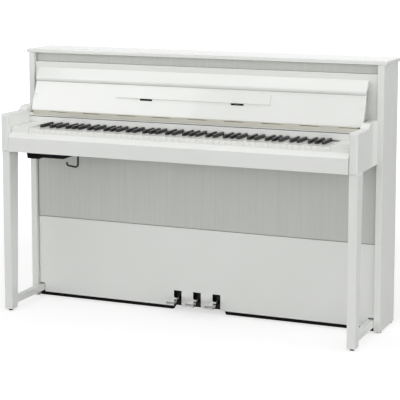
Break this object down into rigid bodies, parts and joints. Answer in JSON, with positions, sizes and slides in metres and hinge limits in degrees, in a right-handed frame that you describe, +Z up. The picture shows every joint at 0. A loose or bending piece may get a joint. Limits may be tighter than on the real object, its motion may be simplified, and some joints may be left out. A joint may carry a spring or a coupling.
{
  "type": "upright piano",
  "caption": "Compact white hybrid upright piano with a folding key lid, speaker cloth panels, pedals, front legs and a sprung wooden key action.",
  "frame": {"origin": "on the floor, at the centre of the overall box", "axes": "+X from bass to treble, -Y towards the player, +Z up"},
  "size_m": [1.501, 0.463, 1.024],
  "materials": {
    "white_polish": "high-gloss white polyester over board",
    "speaker_cloth": "stretched silver-grey woven cloth",
    "plain_board": "dark fibreboard",
    "white_key": "wooden stick with an ivory-white satin top",
    "black_key": "wooden stick with a black top",
    "hinge_brass": "brushed pale brass",
    "steel": "plain",
    "pedal_metal": "polished",
    "action_metal": "cast",
    "action_wood": "bare maple",
    "felt": "red felt",
    "black_plastic": "matt",
    "knob_plastic": "satin",
    "speaker_metal": "satin black",
    "circuit": "lacquered board"
  },
  "bodies": {
    "cabinet": {"left_side_panel": "white_polish", "right_side_panel": "white_polish", "top_board": "white_polish", "upper_front_panel": "white_polish", "upper_grille": "speaker_cloth", "left_arm": "white_polish", "right_arm": "white_polish", "keybed": "white_polish", "key_slip": "white_polish", "key_blocks": "white_polish", "name_rail": "white_polish", "lid_rail": "white_polish", "left_leg": "white_polish", "right_leg": "white_polish", "toe_blocks": "white_polish", "floor_glides": "black_plastic", "lower_panel": "white_polish", "lower_grille": "speaker_cloth", "kick_rail": "black_plastic", "back_panel": "plain_board", "bottom_board": "plain_board", "hinge_fixed_leaf": "hinge_brass", "key_frame": "action_wood", "key_pins": "steel", "key_cloth": "felt", "action_frame": "action_metal", "speakers": "speaker_metal", "amplifier": "circuit", "terminal_panel": "black_plastic", "pedal_box": "speaker_metal", "pedal_springs": "steel", "control_box": "black_plastic", "headphone_hook": "speaker_metal"},
    "lid": {"lid_panel": "white_polish", "hinge_moving_leaf": "hinge_brass", "flap_hinge": "steel", "lid_bumpers": "white_polish", "music_rest_hinges": "black_plastic"},
    "lid_flap": {"lid_flap": "white_polish"},
    "music_rest": {"music_rest": "white_polish"},
    "wippens": {"wippens": "action_wood"},
    "hammers": {"hammers": "action_wood"},
    "soft_pedal": {"soft_pedal": "pedal_metal"},
    "sostenuto_pedal": {"sostenuto_pedal": "pedal_metal"},
    "damper_pedal": {"damper_pedal": "pedal_metal"},
    "control_tray": {"control_tray": "black_plastic"},
    "volume_knob": {"volume_knob": "knob_plastic"},
    "power_button": {"power_button": "knob_plastic"},
    "keys_c": {"keys_c": "white_key"},
    "keys_c_sharp": {"keys_c_sharp": "black_key"},
    "keys_d": {"keys_d": "white_key"},
    "keys_d_sharp": {"keys_d_sharp": "black_key"},
    "keys_e": {"keys_e": "white_key"},
    "keys_f": {"keys_f": "white_key"},
    "keys_f_sharp": {"keys_f_sharp": "black_key"},
    "keys_g": {"keys_g": "white_key"},
    "keys_g_sharp": {"keys_g_sharp": "black_key"},
    "keys_a": {"keys_a": "white_key"},
    "keys_a_sharp": {"keys_a_sharp": "black_key"},
    "keys_b": {"keys_b": "white_key"}
  },
  "joints": [
    {"name": "lid_hinge", "type": "hinge", "parent": "cabinet", "child": "lid", "pos_m": [0, -0.0582, 0.7865], "axis": [1, 0, 0], "range_deg": [0, 113.66]},
    {"name": "flap_fold", "type": "hinge", "parent": "lid", "child": "lid_flap", "pos_m": [0, 0.00051, 0.91029], "axis": [1, 0, 0], "range_deg": [0, 70]},
    {"name": "music_rest_hinge", "type": "hinge", "parent": "lid", "child": "music_rest", "pos_m": [0, -0.03107, 0.8477], "axis": [-1, 0, 0], "range_deg": [-90, 0]},
    {"name": "keys_c_press", "type": "hinge", "parent": "cabinet", "child": "keys_c", "pos_m": [0, 0, 0.708], "axis": [1, 0, 0], "range_deg": [0, 2.8], "stiffness_Nm_per_rad": 20, "springref_deg": -5.73},
    {"name": "keys_c_sharp_press", "type": "hinge", "parent": "cabinet", "child": "keys_c_sharp", "pos_m": [0, 0, 0.708], "axis": [1, 0, 0], "range_deg": [0, 2.8], "stiffness_Nm_per_rad": 20, "springref_deg": -5.73},
    {"name": "keys_d_press", "type": "hinge", "parent": "cabinet", "child": "keys_d", "pos_m": [0, 0, 0.708], "axis": [1, 0, 0], "range_deg": [0, 2.8], "stiffness_Nm_per_rad": 20, "springref_deg": -5.73},
    {"name": "keys_d_sharp_press", "type": "hinge", "parent": "cabinet", "child": "keys_d_sharp", "pos_m": [0, 0, 0.708], "axis": [1, 0, 0], "range_deg": [0, 2.8], "stiffness_Nm_per_rad": 20, "springref_deg": -5.73},
    {"name": "keys_e_press", "type": "hinge", "parent": "cabinet", "child": "keys_e", "pos_m": [0, 0, 0.708], "axis": [1, 0, 0], "range_deg": [0, 2.8], "stiffness_Nm_per_rad": 20, "springref_deg": -5.73},
    {"name": "keys_f_press", "type": "hinge", "parent": "cabinet", "child": "keys_f", "pos_m": [0, 0, 0.708], "axis": [1, 0, 0], "range_deg": [0, 2.8], "stiffness_Nm_per_rad": 20, "springref_deg": -5.73},
    {"name": "keys_f_sharp_press", "type": "hinge", "parent": "cabinet", "child": "keys_f_sharp", "pos_m": [0, 0, 0.708], "axis": [1, 0, 0], "range_deg": [0, 2.8], "stiffness_Nm_per_rad": 20, "springref_deg": -5.73},
    {"name": "keys_g_press", "type": "hinge", "parent": "cabinet", "child": "keys_g", "pos_m": [0, 0, 0.708], "axis": [1, 0, 0], "range_deg": [0, 2.8], "stiffness_Nm_per_rad": 20, "springref_deg": -5.73},
    {"name": "keys_g_sharp_press", "type": "hinge", "parent": "cabinet", "child": "keys_g_sharp", "pos_m": [0, 0, 0.708], "axis": [1, 0, 0], "range_deg": [0, 2.8], "stiffness_Nm_per_rad": 20, "springref_deg": -5.73},
    {"name": "keys_a_press", "type": "hinge", "parent": "cabinet", "child": "keys_a", "pos_m": [0, 0, 0.708], "axis": [1, 0, 0], "range_deg": [0, 2.8], "stiffness_Nm_per_rad": 20, "springref_deg": -5.73},
    {"name": "keys_a_sharp_press", "type": "hinge", "parent": "cabinet", "child": "keys_a_sharp", "pos_m": [0, 0, 0.708], "axis": [1, 0, 0], "range_deg": [0, 2.8], "stiffness_Nm_per_rad": 20, "springref_deg": -5.73},
    {"name": "keys_b_press", "type": "hinge", "parent": "cabinet", "child": "keys_b", "pos_m": [0, 0, 0.708], "axis": [1, 0, 0], "range_deg": [0, 2.8], "stiffness_Nm_per_rad": 20, "springref_deg": -5.73},
    {"name": "wippen_lift", "type": "hinge", "parent": "cabinet", "child": "wippens", "pos_m": [0, 0.158, 0.768], "axis": [-1, 0, 0], "range_deg": [0, 7]},
    {"name": "hammer_swing", "type": "hinge", "parent": "cabinet", "child": "hammers", "pos_m": [0, 0.15, 0.85], "axis": [-1, 0, 0], "range_deg": [0, 25]},
    {"name": "soft_pedal_press", "type": "hinge", "parent": "cabinet", "child": "soft_pedal", "pos_m": [0, 0.15, 0.056], "axis": [1, 0, 0], "range_deg": [0, 4.5], "stiffness_Nm_per_rad": 15, "springref_deg": -11.46, "deforming": ["pedal_springs"]},
    {"name": "sostenuto_pedal_press", "type": "hinge", "parent": "cabinet", "child": "sostenuto_pedal", "pos_m": [0, 0.15, 0.056], "axis": [1, 0, 0], "range_deg": [0, 4.5], "stiffness_Nm_per_rad": 15, "springref_deg": -11.46, "deforming": ["pedal_springs"]},
    {"name": "damper_pedal_press", "type": "hinge", "parent": "cabinet", "child": "damper_pedal", "pos_m": [0, 0.15, 0.056], "axis": [1, 0, 0], "range_deg": [0, 4.5], "stiffness_Nm_per_rad": 15, "springref_deg": -11.46, "deforming": ["pedal_springs"]},
    {"name": "tray_slide", "type": "slide", "parent": "cabinet", "child": "control_tray", "axis": [0, -1, 0], "range_m": [0, 0.09]},
    {"name": "volume_turn", "type": "hinge", "parent": "control_tray", "child": "volume_knob", "pos_m": [-0.545, -0.146, 0.635], "axis": [0, 0, 1], "range_deg": [-140, 140]},
    {"name": "power_press", "type": "slide", "parent": "control_tray", "child": "power_button", "axis": [0, 0, -1], "range_m": [0, 0.002], "stiffness_N_per_m": 150, "springref_m": -0.006}
  ],
  "couplings": [
    {"joint": "hammer_swing", "follows": "wippen_lift", "ratio": 3.5714}
  ]
}
